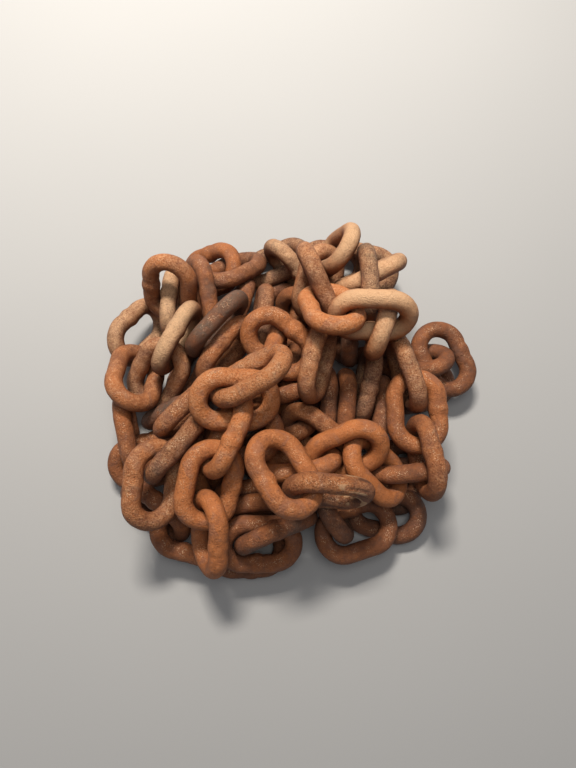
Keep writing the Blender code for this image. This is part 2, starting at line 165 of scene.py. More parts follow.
# Every link: name, first end (x, y, height), second end (x, y, height), roll in degrees.
# x and y are where the sight line through that end meets the floor; height is that end's own.
# A roll of 0 lies flat, 90 stands on edge; positive lifts the bar on the left of the link.
LINKS = (
    ("link_01", (-100, 132.5, 66), (-96, 86, 24), 0),
    ("link_02", (-81.5, 129, 53), (-76.5, 73, 41), 60),
    ("link_03", (-98, 122, 26), (-107, 68, 26), 88),
    ("link_04", (-80, 87.5, 55), (-103.5, 45.5, 60), 84),
    ("link_05", (-134, 54, 30), (-104, 80, 14), 60),
    ("link_06", (-119, 46, 28), (-123, -4, 50), -40),
    ("link_07", (-95, 60, 55), (-118, 10, 26), 0),
    ("link_08", (-133, 2, 38), (-117, -42, 24), 85),
    ("low_left_1", (-126, -44, 24), (-84, -24, 22), 10),
    ("link_09", (-124, -62, 24), (-82, -84, 22), 60),
    ("link_10", (-106, -34, 60), (-109, -87, 43), -58),
    ("link_11", (-70, -2, 67), (-104, -45, 58), 85),
    ("link_12", (-64, 22, 53), (-90, -14, 50), 75),
    ("low_left_2", (-88, 0, 34), (-106, -40, 31), 85),
    ("link_13", (-42, 91, 55), (-70, 55, 53), 85),
    ("low_back_1", (-39.7, 140.2, 22), (-59.2, 116.5, 36), 20),
    ("link_14", (-48.1, 125.3, 36), (-82.7, 117.5, 14), 10),
    ("low_back_2", (-36, 130, 19), (6, 130, 22), -42),
    ("low_back_3", (-4, 139, 41), (8, 100, 26), 80),
    ("low_back_right_1", (12, 134, 17), (58, 128, 22), 20),
    ("link_15", (28, 141, 65), (27, 98, 46), -25),
    ("link_16", (45.4, 156.2, 82), (34, 132, 35), -22),
    ("link_17", (20, 131, 77), (31, 98, 62), -65),
    ("low_back_right_2", (46, 134, 41), (82, 124, 36), 30),
    ("link_18", (69, 132, 70), (80, 92, 74), 85),
    ("link_19", (86, 132, 55), (50, 112, 53), 65),
    ("link_20", (38, 84, 96), (100, 74, 89), 58),
    ("link_21", (36, 109, 60), (34, 70, 94), -15),
    ("link_22", (82, 98, 60), (88, 62, 89), 80),
    ("link_23", (83, 57, 60), (103, 15, 53), 100),
    ("low_right_1", (40, 50, 31), (88, 50, 34), 0),
    ("link_24", (70, 51, 60), (52, -2, 46), 85),
    ("link_25", (44, 27, 41), (34, -20, 34), 82),
    ("link_26", (29, 18, 43), (26, -20, 29), 80),
    ("low_right_2", (74, 20, 36), (71, -20, 31), 80),
    ("link_27", (103, 31, 53), (99, -31, 31), 8),
    ("link_28", (106, -7, 43), (114, -64, 38), 88),
    ("link_29", (118, 70, 31), (134, 12, 17), 0),
    ("low_right_3", (124, 45, 26), (80, 43, 19), 45),
    ("low_right_4", (128, 30, 10), (80, 20, 10), 10),
    ("link_30", (121, -52, 30), (67, -48, 31), 80),
    ("link_31", (76, -28, 60), (26, -53, 50), -42),
    ("link_32", (53, -31, 62), (71, -62, 34), -35),
    ("link_33", (8, -62, 84), (60, -67, 72), 80),
    ("link_34", (26, -44, 48), (-20, -38, 41), 70),
    ("link_35", (-21, -22, 79), (11, -77, 74), -30),
    ("link_36", (-14, -26, 74), (-60, -20, 58), -15),
    ("low_middle_1", (14, -15, 30), (-30, -35, 26), 80),
    ("link_37", (8, -3, 55), (41, -32, 46), 75),
    ("link_38", (-49, 10, 84), (-56, -44, 72), 75),
    ("link_39", (-8, 38, 91), (-54, 22, 74), 35),
    ("link_40", (-60, 9, 84), (-14, 20, 70), 35),
    ("link_41", (-66, 34, 46), (-33, 68, 46), 80),
    ("link_42", (-22, 72, 70), (14, 40, 55), 30),
    ("link_43", (-16, 74, 55), (-22, 28, 67), 80),
    ("low_back_4", (-29, 104, 38), (-28, 58, 34), 80),
    ("low_back_5", (-2, 104, 46), (0, 60, 31), 0),
    ("low_back_6", (-2, 90, 28), (36, 84, 34), 60),
    ("link_44", (37, 70, 65), (15, 19, 55), -82),
    ("low_middle_2", (4, 48, 38), (0, 2, 29), 80),
    ("low_middle_3", (12, 30, 48), (-20, -6, 43), 80),
    ("low_middle_4", (-26, 0, 18), (-8, -44, 14), 50),
    ("link_45", (-62, -34, 70), (-70, -92, 53), -20),
    ("link_46", (-64, -79.5, 58), (-55.9, -124, 22), 62),
    ("link_47", (-92, -98, 22), (-42, -106, 14), 0),
    ("low_under_front_1", (-42, -80, 34), (6, -68, 31), 75),
    ("low_under_front_2", (-40, -64, 48), (0, -46, 43), 85),
    ("low_under_front_3", (-63, -6, 46), (-66, -62, 36), 85),
    ("link_48", (-31, -110, 34), (16, -88, 34), 85),
    ("link_49", (-46, -92, 19), (2, -100, 17), 40),
    ("link_50", (-54, -108, 8), (-6, -104, 8), 0),
    ("link_51", (36, -84, 38), (29, -56, 19), 72),
    ("link_52", (32, -102, 24), (74, -87, 19), 0),
    ("low_front_right_1", (84, -81, 10), (36, -68, 10), 0),
    ("low_front_right_2", (88, -34, 8), (76, -72, 8), 0),
    ("low_left_3", (-74, 26, 24), (-110, -14, 22), 85),
    ("low_left_4", (-78, 58, 29), (-80, 10, 24), 70),
    ("low_back_7", (-43, 108, 29), (-36, 62, 29), 80),
    ("low_right_5", (56, 92, 46), (58, 44, 55), 75),
)

# Lower runs: links that bear on each other and are joined into one solid, pair by pair
LOWER_RUNS = {
    "lower_links_left": (
        ("low_left_1", "low_left_2"),
        ("low_left_2", "low_left_3"),
        ("low_left_3", "low_left_4"),
    ),
    "lower_links_back": (
        ("low_back_1", "low_back_7"),
        ("low_back_1", "low_back_2"),
        ("low_back_2", "low_back_5"),
        ("low_back_5", "low_back_6"),
        ("low_back_2", "low_back_3"),
        ("low_back_4", "low_back_5"),
    ),
    "lower_links_back_right": (
        ("low_back_right_1", "low_back_right_2"),
    ),
    "lower_links_right": (
        ("low_right_1", "low_right_5"),
        ("low_right_1", "low_right_3"),
        ("low_right_3", "low_right_4"),
        ("low_right_4", "low_right_2"),
    ),
    "lower_links_middle": (
        ("low_middle_1", "low_middle_4"),
        ("low_middle_1", "low_middle_2"),
        ("low_middle_2", "low_middle_3"),
    ),
    "lower_links_under_front": (
        ("low_under_front_1", "low_under_front_2"),
        ("low_under_front_2", "low_under_front_3"),
    ),
    "lower_links_front_right": (
        ("low_front_right_1", "low_front_right_2"),
    ),
}

# Finish of every link: how orange (0 dark brown, 1 orange), how pale with dust, how rough; some values
# also paint light and shade
# Painted shade: the links at the front and right of the heap get low orange and dust; painted sunlight:
# those at the back right get high dust
FINISHES_AND_PAINTED_LIGHT = {
    "link_01": (0.55, 0.45, 1.0),
    "link_02": (0.35, 0.25, 0.9),
    "link_03": (0.30, 0.85, 0.9),
    "link_04": (0.25, 0.95, 1.1),
    "link_05": (0.45, 0.65, 0.9),
    "link_06": (0.55, 0.38, 1.0),
    "link_07": (0.50, 0.52, 1.0),
    "link_08": (0.60, 0.22, 1.0),
    "link_09": (0.42, 0.15, 1.0),
    "link_10": (0.60, 0.42, 1.4),
    "link_11": (0.30, 0.45, 1.8),
    "link_12": (0.45, 0.40, 1.5),
    "link_13": (-0.10, 0.15, 1.0),
    "link_14": (0.75, 0.20, 0.8),
    "link_15": (0.50, 0.55, 0.8),
    "link_16": (0.40, 1.00, 1.0),
    "link_17": (0.45, 0.52, 1.2),
    "link_18": (0.10, 0.60, 1.8),
    "link_19": (0.50, 0.90, 1.0),
    "link_20": (0.70, 1.05, 0.9),
    "link_21": (0.90, 0.42, 0.8),
    "link_22": (0.60, 0.85, 1.0),
    "link_23": (0.45, 0.50, 1.3),
    "link_24": (0.15, 0.45, 1.2),
    "link_25": (0.35, 0.15, 1.1),
    "link_26": (0.30, 0.18, 1.2),
    "link_27": (0.60, 0.22, 0.9),
    "link_28": (0.50, 0.32, 1.3),
    "link_29": (0.38, 0.06, 0.9),
    "link_30": (0.38, 0.18, 1.0),
    "link_31": (0.85, 0.25, 0.8),
    "link_32": (0.95, 0.22, 0.8),
    "link_33": (0.45, 0.35, 1.7),
    "link_34": (0.80, 0.28, 1.0),
    "link_35": (0.62, 0.25, 0.9),
    "link_36": (0.45, 0.25, 1.0),
    "link_37": (0.62, 0.35, 1.3),
    "link_38": (0.85, 0.35, 1.0),
    "link_39": (1.00, 0.48, 1.8),
    "link_40": (0.95, 0.42, 1.2),
    "link_41": (0.60, 0.35, 1.3),
    "link_42": (0.65, 0.32, 1.2),
    "link_43": (0.50, 0.25, 1.0),
    "link_44": (0.55, 0.52, 1.4),
    "link_45": (0.80, 0.28, 1.0),
    "link_46": (0.75, 0.20, 0.8),
    "link_47": (0.50, 0.10, 1.0),
    "link_48": (0.20, 0.12, 1.2),
    "link_49": (0.42, 0.06, 1.0),
    "link_50": (0.35, 0.04, 1.0),
    "link_51": (0.12, 0.22, 1.0),
    "link_52": (0.38, 0.05, 0.9),
    "low_back_1": (0.40, 0.30, 1.0),
    "low_back_2": (0.25, 0.50, 0.9),
    "low_back_3": (0.35, 0.75, 1.0),
    "low_back_4": (0.35, 0.40, 1.0),
    "low_back_5": (0.50, 0.25, 1.0),
    "low_back_6": (0.55, 0.25, 1.0),
    "low_back_7": (0.45, 0.30, 1.0),
    "low_back_right_1": (0.40, 0.45, 1.0),
    "low_back_right_2": (0.35, 0.55, 1.0),
    "low_front_right_1": (0.15, 0.03, 1.0),
    "low_front_right_2": (0.15, 0.03, 1.0),
    "low_left_1": (0.65, 0.15, 1.0),
    "low_left_2": (0.45, 0.15, 1.0),
    "low_left_3": (0.00, 0.08, 1.0),
    "low_left_4": (0.20, 0.10, 1.0),
    "low_middle_1": (0.45, 0.25, 1.2),
    "low_middle_2": (0.40, 0.20, 1.0),
    "low_middle_3": (0.45, 0.25, 1.1),
    "low_middle_4": (0.55, 0.20, 1.0),
    "low_right_1": (0.35, 0.15, 1.0),
    "low_right_2": (0.25, 0.22, 1.0),
    "low_right_3": (0.25, 0.05, 0.9),
    "low_right_4": (0.25, 0.05, 0.9),
    "low_right_5": (0.15, 0.25, 1.2),
    "low_under_front_1": (0.42, 0.12, 1.0),
    "low_under_front_2": (0.45, 0.12, 1.0),
    "low_under_front_3": (0.65, 0.18, 1.0),
}


def sight_to_place(x, y, height):
    """Point at the given height on the sight line that meets the floor at x, y."""
    k = height / SIGHT_POINT[2]
    place = np.array([x + (SIGHT_POINT[0] - x) * k, y + (SIGHT_POINT[1] - y) * k, height])
    return place * READING_UNIT


def link_pose(first, second, roll):
    """Centre and turning matrix: columns are the link's length, width and face directions."""
    a = sight_to_place(*first)
    b = sight_to_place(*second)
    along = (b - a) / np.linalg.norm(b - a)
    left = np.cross([0.0, 0.0, 1.0], along)
    left = left / np.linalg.norm(left)
    up = np.cross(along, left)
    r = math.radians(roll)
    across = math.cos(r) * left + math.sin(r) * up
    return (a + b) / 2, np.stack([along, across, np.cross(along, across)], 1)


def centreline(count):
    """Evenly spaced points on the centreline of a link that lies in its own x-y plane."""
    straight = 2 * HALF_STRAIGHT
    bend = math.pi * END_RADIUS
    points = np.zeros((count, 3))
    for i in range(count):
        u = (i + 0.5) / count * 2 * (straight + bend)
        if u < straight:
            points[i] = (-HALF_STRAIGHT + u, -END_RADIUS, 0.0)
        elif u < straight + bend:
            t = (u - straight) / END_RADIUS - math.pi / 2
            points[i] = (HALF_STRAIGHT + END_RADIUS * math.cos(t), END_RADIUS * math.sin(t), 0.0)
        elif u < 2 * straight + bend:
            points[i] = (HALF_STRAIGHT - (u - straight - bend), END_RADIUS, 0.0)
        else:
            t = (u - 2 * straight - bend) / END_RADIUS + math.pi / 2
            points[i] = (-HALF_STRAIGHT + END_RADIUS * math.cos(t), END_RADIUS * math.sin(t), 0.0)
    return points


def turned(matrices, vectors):
    """Matrices turned a little further about the given world vectors."""
    angle = np.sqrt((vectors ** 2).sum(1))
    k = vectors / np.maximum(angle, 1e-12)[:, None]
    skew = np.zeros((len(vectors), 3, 3))
    skew[:, 0, 1] = -k[:, 2]
    skew[:, 0, 2] = k[:, 1]
    skew[:, 1, 0] = k[:, 2]
    skew[:, 1, 2] = -k[:, 0]
    skew[:, 2, 0] = -k[:, 1]
    skew[:, 2, 1] = k[:, 0]
    s = np.sin(angle)[:, None, None]
    c = (1 - np.cos(angle))[:, None, None]
    step = np.eye(3) + s * skew + c * np.matmul(skew, skew)
    return np.matmul(step, matrices)


def cross_rows(a, b):
    """Row by row vector product."""
    return np.stack([
        a[:, 1] * b[:, 2] - a[:, 2] * b[:, 1],
        a[:, 2] * b[:, 0] - a[:, 0] * b[:, 2],
        a[:, 0] * b[:, 1] - a[:, 1] * b[:, 0],
    ], 1)


def add_push(move, turn, who, amount, way, lever, count):
    """Add pushes of the given amount and way to the moves and turns of the links named by who."""
    torque = cross_rows(lever, way)
    for axis in range(3):
        move[:, axis] += np.bincount(who, amount * way[:, axis], count)
        turn[:, axis] += np.bincount(who, amount * torque[:, axis] / TURN_INERTIA, count)


def seat_links(centres, matrices, joined, ease):
    """Rest the links on the floor and on each other.

    The wire starts thin and grows to full size while links that touch are moved apart, so the
    links stay threaded as they were read.  Each link is lowered a little all the time and is
    held near its reading.  Joined pairs are drawn together until they run into each other.
    """
    count = len(centres)
    curve = centreline(BEARING_STEPS)
    firm = np.where(ease < 1, UPPER_HOLD_FACTOR, 1.0)
    start = matrices.copy()
    start_height = centres[:, 2].copy()
    sight = np.array(SIGHT_POINT) * READING_UNIT
    k0 = centres[:, 2:3] / sight[2]
    floor_place = (centres[:, :2] - sight[:2] * k0) / (1 - k0)
    joined_pair = np.zeros((count, count), bool)
    for i, j in joined:
        joined_pair[i, j] = joined_pair[j, i] = True
    near = (2 * REACH + WIRE_DIAMETER + 2 * CLEARANCE) ** 2

    for step in range(SEAT_STEPS + CLEAR_STEPS):
        share = min(1.0, FIRST_WIRE_SHARE + (1 - FIRST_WIRE_SHARE) * step / GROW_STEPS)
        wide = (WIRE_DIAMETER + CLEARANCE) * share
        narrow = wide - (CLEARANCE + JOINED_DEPTH) * share
        points = np.matmul(curve, matrices.transpose(0, 2, 1)) + centres[:, None]
        move = np.zeros((count, 3))
        turn = np.zeros((count, 3))

        apart = ((centres[:, None] - centres[None]) ** 2).sum(-1)
        one, two = np.where((apart < near) & (apart > 0))
        local = np.matmul(points[two] - centres[one][:, None], matrices[one])
        x = local[..., 0]
        y = local[..., 1]
        z = local[..., 2]
        dx = x - np.clip(x, -HALF_STRAIGHT, HALF_STRAIGHT)
        rho = np.sqrt(dx * dx + y * y) + 1e-9
        side = rho - END_RADIUS
        dist = np.sqrt(side * side + z * z) + 1e-9
        limit = np.where(joined_pair[one, two], narrow, wide)[:, None]
        depth = limit - dist
        hits = depth > 0
        worst = float(depth.max())
        hit_count = hits.sum(1)
        m, k = np.where(hits)
        lean = side[m, k] / dist[m, k] / rho[m, k]
        way = np.stack([dx[m, k] * lean, y[m, k] * lean, z[m, k] / dist[m, k]], 1)
        way = np.matmul(matrices[one[m]], way[:, :, None])[:, :, 0]
        here = points[two[m], k]
        lever_two = here - centres[two[m]]
        lever_one = here - way * dist[m, k][:, None] - centres[one[m]]
        ease_one = ease[one[m]]
        ease_two = ease[two[m]]
        give = (ease_one * (1 + (cross_rows(lever_one, way) ** 2).sum(1) / TURN_INERTIA)
                + ease_two * (1 + (cross_rows(lever_two, way) ** 2).sum(1) / TURN_INERTIA))
        amount = np.minimum(depth[m, k], DEEPEST_PUSH) / give / np.maximum(hit_count[m], 1) * PUSH_SHARE
        add_push(move, turn, two[m], amount * ease_two, way, lever_two, count)
        add_push(move, turn, one[m], -amount * ease_one, way, lever_one, count)

        for p, q in joined:
            found = np.where((one == p) & (two == q))[0]
            if len(found) == 0:
                gap = centres[q] - centres[p]
                gap = gap / math.sqrt(float((gap ** 2).sum()))
                move[p] += LONGEST_MOVE / 4 * gap
                move[q] -= LONGEST_MOVE / 4 * gap
                continue
            m = int(found[0])
            k = int(dist[m].argmin())
            excess = float(dist[m, k]) - narrow
            if excess <= 0:
                continue
            lean = side[m, k] / dist[m, k] / rho[m, k]
            way = matrices[p] @ np.array([dx[m, k] * lean, y[m, k] * lean, z[m, k] / dist[m, k]])
            here = points[q, k]
            arm_q = here - centres[q]
            arm_p = here - way * dist[m, k] - centres[p]
            turn_q = np.cross(arm_q, way)
            turn_p = np.cross(arm_p, way)
            give = 2 + float((turn_q ** 2).sum() + (turn_p ** 2).sum()) / TURN_INERTIA
            amount = min(excess, LONGEST_MOVE) / give * PUSH_SHARE
            move[q] -= amount * way
            move[p] += amount * way
            turn[q] -= amount * turn_q / TURN_INERTIA
            turn[p] += amount * turn_p / TURN_INERTIA

        sunk = WIRE_DIAMETER / 2 - points[:, :, 2]
        low = sunk > 0
        m, k = np.where(low)
        if len(m):
            lever = points[m, k] - centres[m]
            upward = np.zeros((len(m), 3))
            upward[:, 2] = 1.0
            give = 1 + (lever[:, 0] ** 2 + lever[:, 1] ** 2) / TURN_INERTIA
            amount = sunk[m, k] / give / np.maximum(low.sum(1)[m], 1) * PUSH_SHARE
            add_push(move, turn, m, amount, upward, lever, count)

        if step < SEAT_STEPS:
            grown = share ** HOLD_GROWTH
            hold = min(1.0, (1 - step / SEAT_STEPS) * 4) * grown
            move[:, 2] -= LOWERING * grown
            move[:, 2] += hold * HOLD_HEIGHT_SHARE * (start_height - centres[:, 2])
            kk = centres[:, 2:3] / sight[2]
            target = floor_place + (sight[:2] - floor_place) * kk
            move[:, :2] += hold * HOLD_PLACE_SHARE * firm[:, None] * (target - centres[:, :2])
            e = np.matmul(start, matrices.transpose(0, 2, 1))
            back = np.stack([e[:, 2, 1] - e[:, 1, 2], e[:, 0, 2] - e[:, 2, 0], e[:, 1, 0] - e[:, 0, 1]], 1)
            turn += hold * HOLD_TURN_SHARE * firm[:, None] * back / 2
        elif worst < CLEAR_LIMIT:
            break

        centres = centres + shortened(move, LONGEST_MOVE)
        matrices = turned(matrices, shortened(turn, LONGEST_TURN))
        if step % 20 == 19:
            matrices = squared(matrices)
            centres = np.round(centres, 6)
            matrices = np.round(matrices, 8)
    return centres, squared(matrices)


def shortened(vectors, longest):
    """Vectors with the long ones cut to the given length."""
    size = np.sqrt((vectors ** 2).sum(1))[:, None]
    return vectors * np.minimum(1.0, longest / np.maximum(size, 1e-9))


def squared(matrices):
    """Matrices with their columns made square to each other and of length one again."""
    a = matrices[:, :, 0]
    a = a / np.sqrt((a ** 2).sum(1))[:, None]
    b = matrices[:, :, 1]
    b = b - a * (a * b).sum(1)[:, None]
    b = b / np.sqrt((b ** 2).sum(1))[:, None]
    return np.stack([a, b, cross_rows(a, b)], 2)


def cell_numbers(cells, seed):
    """A settled random number from -1 to 1 for each whole-number cell (x, y, z).

    The cell's numbers and the seed are multiplied by large odd factors and mixed bit by bit; then
    the high bits are folded onto the low ones and multiplied again, twice, and 24 bits are kept.
    """
    x_factor, y_factor, z_factor = CELL_FACTORS
    mixed = (cells[..., 0] * x_factor) ^ (cells[..., 1] * y_factor) ^ (cells[..., 2] * z_factor)
    mixed = (mixed ^ (seed * SEED_FACTOR)) & LOW_32_BITS
    mixed = ((mixed ^ (mixed >> 15)) * FIRST_MIX_FACTOR) & LOW_32_BITS
    mixed = ((mixed ^ (mixed >> 13)) * SECOND_MIX_FACTOR) & LOW_32_BITS
    return ((mixed ^ (mixed >> 16)) & LOW_24_BITS) / (LOW_24_BITS / 2) - 1.0


def smooth_noise(points, patch, seed):
    """Cell numbers blended between the eight corners of each cube with 3t^2 - 2t^3."""
    scaled = points / patch
    base = np.floor(scaled).astype(np.int64)
    t = scaled - base
    w = t * t * (3 - 2 * t)
    total = np.zeros(points.shape[:-1])
    for corner in range(8):
        step = np.array([corner & 1, (corner >> 1) & 1, (corner >> 2) & 1])
        share = np.prod(np.where(step == 1, w, 1 - w), axis=-1)
        total += share * cell_numbers(base + step, seed)
    return total


def layered_noise(points, patch, seed, layers):
    """Smooth noise plus finer layers, each at half the patch and a fixed share of the height."""
    total = np.zeros(points.shape[:-1])
    height = 1.0
    for layer in range(layers):
        total += height * smooth_noise(points, patch / 2 ** layer, seed + layer * 17)
        height *= LAYER_SHARE
    return total


def scale_steps(points, patch, seed):
    """Flaked scale: layered noise pushed to two levels, -1 and 1, by a steep S curve, tanh."""
    return np.tanh(SCALE_STEEPNESS * layered_noise(points, patch, seed, 3))


def wire_path(waist):
    """Centreline of an oval link by length of arc: a straight, a bend, a straight and a bend.

    On a straight, x grows or falls with the arc.  On a bend, x and y are the bend's middle plus its
    radius times cos and sin of the angle.  The straights are drawn in towards the link's middle by
    the waist times cos^2 of the place along them.  Gives the places, the outward directions, the
    angles from the nearer end's crown and the lengths of arc.
    """
    u = (np.arange(ALONG_STEPS) + 0.5) / ALONG_STEPS * LOOP
    straight = 2 * HALF_STRAIGHT
    bend = math.pi * END_RADIUS
    still = 0 * u
    first_turn = np.clip((u - straight) / END_RADIUS, 0, math.pi) - math.pi / 2
    second_turn = np.clip((u - 2 * straight - bend) / END_RADIUS, 0, math.pi) + math.pi / 2
    on_first = u < straight
    on_bend = (u >= straight) & (u < straight + bend)
    on_second = (u >= straight + bend) & (u < 2 * straight + bend)
    stretches = [on_first, on_bend, on_second]
    x = np.select(
        stretches,
        [
            u - HALF_STRAIGHT,
            HALF_STRAIGHT + END_RADIUS * np.cos(first_turn),
            HALF_STRAIGHT - (u - straight - bend),
        ],
        -HALF_STRAIGHT + END_RADIUS * np.cos(second_turn),
    )
    angle = np.select(stretches, [still - math.pi / 2, first_turn, still + math.pi / 2], second_turn)
    outward = np.stack([np.cos(angle), np.sin(angle), still], 1)
    y = END_RADIUS * np.sin(angle)
    inset = waist * np.cos(np.clip(x / REACH, -1, 1) * math.pi / 2) ** 2
    y = y - np.sign(y) * inset * np.abs(np.sin(angle))
    crown = np.abs(np.mod(angle + math.pi / 2, math.pi) - math.pi / 2)
    crown = np.where(on_first | on_second, math.pi / 2, crown)
    return np.stack([x, y, still], 1), outward, crown, u


def flaky_end(place, u, v, seed):
    """Lengthwise ridges on the second end: noise on the wire as if it were straight.

    The noise is stretched along the wire, and fades in from near the link's middle, 3t^2 - 2t^3.
    """
    along = np.repeat(u[:, None] / RIDGE_STRETCH, len(v), 1)
    side = WIRE_RADIUS * np.cos(v) + 0 * along
    face = WIRE_RADIUS * np.sin(v) + 0 * along
    straightened = np.stack([along, side, face], 2)
    t = np.clip((place[:, :1] / REACH - RIDGE_START) / RIDGE_FADE, 0, 1)
    return t * t * (3 - 2 * t) * smooth_noise(straightened + RIDGE_OFFSET, RIDGE_PATCH, seed)


def weld_ring(u, v, weld_on_second, slip, heavy_side):
    """Height of the weld over the wire, by length of arc u and angle v round the wire.

    A bell curve of the distance along the wire less a narrower one on each side of it, both
    higher on the weld's heavy side.
    """
    weld_at = HALF_STRAIGHT
    if weld_on_second:
        weld_at = 3 * HALF_STRAIGHT + math.pi * END_RADIUS
    s = u - weld_at - slip
    lean = 1 - WELD_LEAN * (1 - np.cos(v - heavy_side))
    ring = WELD_RISE * np.exp(-(s / WELD_REACH) ** 2)
    groove = WELD_GROOVE * np.exp(-((np.abs(s) - GROOVE_OFFSET) / GROOVE_REACH) ** 2)
    return (ring - groove)[:, None] * lean[None]


def worn_link(seed, rough, flaky):
    """Surface of one link in its own axes, with its scale and its ridges at each point.

    Each point is the centreline's place plus the wire's radius times
    (cos v outward + sin v along the link's face).  The radius is the wire's own, raised by the
    weld, worn at the inner side of both ends (a bell curve of the angle from the crown), and
    roughened by dents, flaked scale, grain and ridges.  The centreline itself drifts a little,
    as in links closed by hand.
    """
    pick = np.random.RandomState(seed)
    waist = WAIST * pick.uniform(*WAIST_SHARES)
    weld_on_second = pick.choice([False, True])
    weld_slip = pick.uniform(-WELD_SLIP, WELD_SLIP)
    heavy_side = pick.uniform(0, 2 * math.pi)
    weld_share = pick.uniform(*WELD_SHARES)
    end_wear = END_WEAR * pick.uniform(*END_WEAR_SHARES)
    place, outward, crown, u = wire_path(waist)
    home = np.array(NOISE_HOME) * (seed % NOISE_HOMES + 1)
    for axis in range(3):
        place[:, axis] += BEND_DRIFT * smooth_noise(place + home, BEND_PATCH, seed + 31 * axis + 3)
    v = np.arange(ROUND_STEPS) / ROUND_STEPS * 2 * math.pi
    face = np.array([0, 0, 1.0])
    around = np.cos(v)[None, :, None] * outward[:, None] + np.sin(v)[None, :, None] * face
    away = place[:, None] + WIRE_RADIUS * around + home

    weld = weld_share * weld_ring(u, v, weld_on_second, weld_slip, heavy_side)
    inner = np.clip(-np.cos(v), 0, 1) ** END_WEAR_FADE
    wear = np.exp(-(crown / END_WEAR_ANGLE) ** 2)[:, None] * inner[None]
    dents = DENT_DEPTH * layered_noise(away, DENT_PATCH, seed, 2)
    scale = scale_steps(away, SCALE_PATCH, seed + 5)
    half_step = SCALE_STEP * (SMOOTH_LINK_SHARE + (1 - SMOOTH_LINK_SHARE) * rough) / 2
    flakes = half_step * (scale - SCALE_SINK) * (1 - WORN_AWAY_SHARE * wear)
    grain = rough * GRAIN_DEPTH * layered_noise(away, GRAIN_PATCH, seed + 9, 2)
    ridges = flaky_end(place, u, v, seed + 77) if flaky else 0 * dents
    radius = WIRE_RADIUS + weld - end_wear * wear + dents + flakes + grain + RIDGE_HEIGHT * ridges
    points = place[:, None] + radius[..., None] * around
    return points.reshape(-1, 3), scale.ravel(), ridges.ravel()


def ring_faces():
    """Four-cornered faces between neighbouring places on the grid, both ways round."""
    i, k = np.meshgrid(np.arange(ALONG_STEPS), np.arange(ROUND_STEPS), indexing="ij")
    j = (i + 1) % ALONG_STEPS
    n = (k + 1) % ROUND_STEPS
    corners = [i * ROUND_STEPS + k, j * ROUND_STEPS + k, j * ROUND_STEPS + n, i * ROUND_STEPS + n]
    return np.stack([c.ravel() for c in corners], 1)


def closeness(points, own, lines):
    """How near each point lies to the other links' wires: exp(-gap / shade gap), 1 at a touch; it sets the
    painted shade between links.
    """
    middle = points.mean(0)
    nearest = np.full(len(points), np.inf)
    for other, line in enumerate(lines):
        if other == own or np.linalg.norm(line.mean(0) - middle) > 2 * (REACH + WIRE_DIAMETER):
            continue
        squares = ((points[:, None] - line[None]) ** 2).sum(-1).min(1)
        nearest = np.minimum(nearest, squares)
    gap = np.clip(np.sqrt(nearest) - WIRE_DIAMETER / 2, 0, None)
    return np.exp(-gap / SHADE_GAP)


def add_piece(name, points, faces, values, material):
    """A smooth mesh object at the origin from whole arrays, with a number per point for each value."""
    mesh = bpy.data.meshes.new(name)
    mesh.vertices.add(len(points))
    mesh.vertices.foreach_set("co", points.astype(np.float32).ravel())
    mesh.loops.add(faces.size)
    mesh.loops.foreach_set("vertex_index", faces.astype(np.int32).ravel())
    mesh.polygons.add(len(faces))
    mesh.polygons.foreach_set("loop_start", np.arange(0, faces.size, 4, dtype=np.int32))
    mesh.update(calc_edges=True)
    mesh.validate()
    mesh.shade_smooth()
    for label, numbers in values.items():
        layer = mesh.attributes.new(label, "FLOAT", "POINT")
        layer.data.foreach_set("value", numbers.astype(np.float32))
    mesh.materials.append(material)
    piece = bpy.data.objects.new(name, mesh)
    bpy.context.scene.collection.objects.link(piece)
    return piece


class Finish:
    """A node material under construction."""

    def __init__(self, name):
        self.material = bpy.data.materials.new(name)
        self.material.use_nodes = True
        self.tree = self.material.node_tree
        self.shader = self.tree.nodes["Principled BSDF"]
        self.place = self.tree.nodes.new("ShaderNodeTexCoord").outputs["Object"]

    def join(self, source, socket):
        """Feed a socket from another, or set it to a plain value."""
        if isinstance(source, (int, float, tuple)):
            socket.default_value = source
        else:
            self.tree.links.new(source, socket)

    def noise(self, scale, detail=3.0, roughness=0.55, twist=0.0):
        """Noise in the piece's own place; scale is in cells per metre."""
        node = self.tree.nodes.new("ShaderNodeTexNoise")
        node.inputs["Scale"].default_value = scale
        node.inputs["Detail"].default_value = detail
        node.inputs["Roughness"].default_value = roughness
        node.inputs["Distortion"].default_value = twist
        self.join(self.place, node.inputs["Vector"])
        return node.outputs["Fac"]

    def value(self, label):
        """One of the mesh's own numbers."""
        node = self.tree.nodes.new("ShaderNodeAttribute")
        node.attribute_name = label
        return node.outputs["Fac"]

    def math(self, kind, a, b=0.0):
        """One sum, difference or product."""
        node = self.tree.nodes.new("ShaderNodeMath")
        node.operation = kind
        self.join(a, node.inputs[0])
        self.join(b, node.inputs[1])
        return node.outputs[0]

    def between(self, source, low, high):
        """0 at low, 1 at high, smooth between."""
        node = self.tree.nodes.new("ShaderNodeMapRange")
        node.interpolation_type = "SMOOTHSTEP"
        node.inputs["From Min"].default_value = low
        node.inputs["From Max"].default_value = high
        self.join(source, node.inputs["Value"])
        return node.outputs["Result"]

    def scaled(self, source, factor):
        """A number times another."""
        return self.math("MULTIPLY", source, factor)

    def blend(self, share, first, second):
        """A colour between two: the first at 0, the second at 1."""
        node = self.tree.nodes.new("ShaderNodeMix")
        node.data_type = "RGBA"
        self.join(share, node.inputs["Factor"])
        self.join((*first, 1.0) if isinstance(first, tuple) else first, node.inputs["A"])
        self.join((*second, 1.0) if isinstance(second, tuple) else second, node.inputs["B"])
        return node.outputs["Result"]

    def relief(self, height, distance, normal=None):
        """A bump of that height in metres."""
        node = self.tree.nodes.new("ShaderNodeBump")
        node.inputs["Strength"].default_value = 1.0
        node.inputs["Distance"].default_value = distance
        self.join(height, node.inputs["Height"])
        if normal is not None:
            self.join(normal, node.inputs["Normal"])
        return node.outputs["Normal"]
